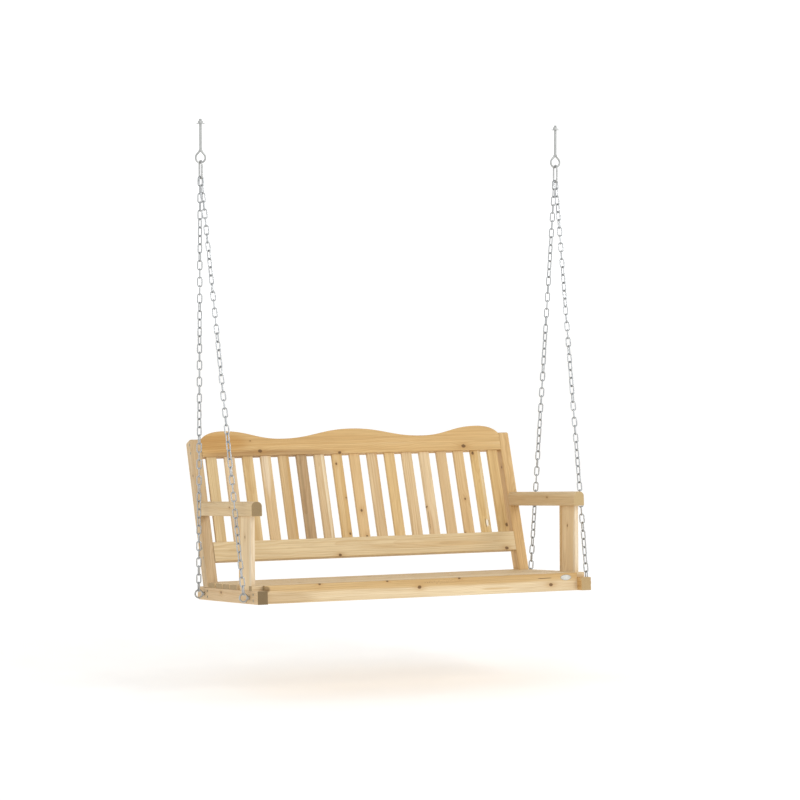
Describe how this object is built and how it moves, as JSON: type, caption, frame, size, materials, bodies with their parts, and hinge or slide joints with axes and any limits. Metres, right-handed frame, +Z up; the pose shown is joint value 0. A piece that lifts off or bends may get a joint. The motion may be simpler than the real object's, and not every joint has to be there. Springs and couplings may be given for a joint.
{
  "type": "porch swing seat",
  "caption": "Slatted timber swing bench with arms and a humped back rail, hung by chains and snap hooks from ceiling eye bolts",
  "frame": {"origin": "midway between the two ceiling eye bolts, on the underside of the beam they hang from", "axes": "+Z up, along the eye bolts; +X to the right seen from the front; +Y to the rear of the bench"},
  "size_m": [1.436, 0.782, 1.7395],
  "materials": {
    "frame_timber": "satin",
    "seat_slats": "satin",
    "back_slats": "satin",
    "chain_zinc": "satin",
    "hardware_zinc": "satin",
    "screws": "satin",
    "plate": "satin"
  },
  "bodies": {
    "hangers": {"ceiling_eye_left": "hardware_zinc", "ceiling_eye_right": "hardware_zinc", "ceiling_nuts": "hardware_zinc", "ceiling_washers": "hardware_zinc"},
    "left_hook": {"snap_hook_left": "hardware_zinc", "gate_pin_left": "hardware_zinc"},
    "left_gate": {"hook_gate_left": "hardware_zinc"},
    "left_chains": {"chain_front_left": "chain_zinc", "chain_rear_left": "chain_zinc"},
    "right_hook": {"snap_hook_right": "hardware_zinc", "gate_pin_right": "hardware_zinc"},
    "right_gate": {"hook_gate_right": "hardware_zinc"},
    "right_chains": {"chain_front_right": "chain_zinc", "chain_rear_right": "chain_zinc"},
    "bench": {"arm_left": "frame_timber", "arm_post_left": "frame_timber", "arm_post_right": "frame_timber", "arm_right": "frame_timber", "back_slat_01": "back_slats", "back_slat_02": "back_slats", "back_slat_03": "back_slats", "back_slat_04": "back_slats", "back_slat_05": "back_slats", "back_slat_06": "back_slats", "back_slat_07": "back_slats", "back_slat_08": "back_slats", "back_slat_09": "back_slats", "back_slat_10": "back_slats", "back_slat_11": "back_slats", "back_slat_12": "back_slats", "back_slat_13": "back_slats", "back_slat_14": "back_slats", "back_slat_15": "back_slats", "back_slat_16": "back_slats", "back_slat_17": "back_slats", "back_stile_left": "frame_timber", "back_stile_right": "frame_timber", "centre_bearer": "frame_timber", "frame_screws": "screws", "front_board": "frame_timber", "label_plate": "plate", "low_back_rail": "frame_timber", "rear_seat_rail": "frame_timber", "seat_eye_front_left": "hardware_zinc", "seat_eye_front_right": "hardware_zinc", "seat_eye_nuts": "hardware_zinc", "seat_eye_rear_left": "hardware_zinc", "seat_eye_rear_right": "hardware_zinc", "seat_eye_washers": "hardware_zinc", "seat_slat_1": "seat_slats", "seat_slat_2": "seat_slats", "seat_slat_3": "seat_slats", "seat_slat_4": "seat_slats", "seat_slat_5": "seat_slats", "seat_slat_6": "seat_slats", "seat_slat_7": "seat_slats", "side_rail_left": "frame_timber", "side_rail_right": "frame_timber", "slat_screws": "screws", "top_back_rail": "frame_timber"}
  },
  "joints": [
    {"name": "swing", "type": "hinge", "parent": "hangers", "child": "left_hook", "pos_m": [-0.6965, 0, -0.0481], "axis": [1, 0, 0], "range_deg": [-20, 20]},
    {"name": "right_hook_swing", "type": "hinge", "parent": "hangers", "child": "right_hook", "pos_m": [0.6965, 0, -0.0481], "axis": [1, 0, 0], "range_deg": [-21, 21]},
    {"name": "sway", "type": "hinge", "parent": "left_hook", "child": "left_chains", "pos_m": [-0.6965, 0, -0.1038], "axis": [0, 0.9975, -0.0712], "range_deg": [-3, 3]},
    {"name": "right_chain_sway", "type": "hinge", "parent": "right_hook", "child": "right_chains", "pos_m": [0.6965, 0, -0.1038], "axis": [0, 0.9975, -0.0712], "range_deg": [-3.5, 3.5]},
    {"name": "bench_level", "type": "hinge", "parent": "left_chains", "child": "bench", "pos_m": [-0.662, -0.10479, -1.57179], "axis": [0, 0.9975, -0.0712], "range_deg": [-3.5, 3.5]},
    {"name": "left_gate_open", "type": "hinge", "parent": "left_hook", "child": "left_gate", "pos_m": [-0.6965, -0.014, -0.0833], "axis": [-1, 0, 0], "range_deg": [0, 25], "stiffness_Nm_per_rad": 0.05, "springref_deg": -8.59},
    {"name": "right_gate_open", "type": "hinge", "parent": "right_hook", "child": "right_gate", "pos_m": [0.6965, -0.014, -0.0833], "axis": [-1, 0, 0], "range_deg": [0, 25], "stiffness_Nm_per_rad": 0.05, "springref_deg": -8.59}
  ],
  "couplings": [
    {"joint": "right_hook_swing", "follows": "swing", "ratio": 1},
    {"joint": "right_chain_sway", "follows": "sway", "ratio": 1},
    {"joint": "bench_level", "follows": "sway", "ratio": -1.0521}
  ]
}
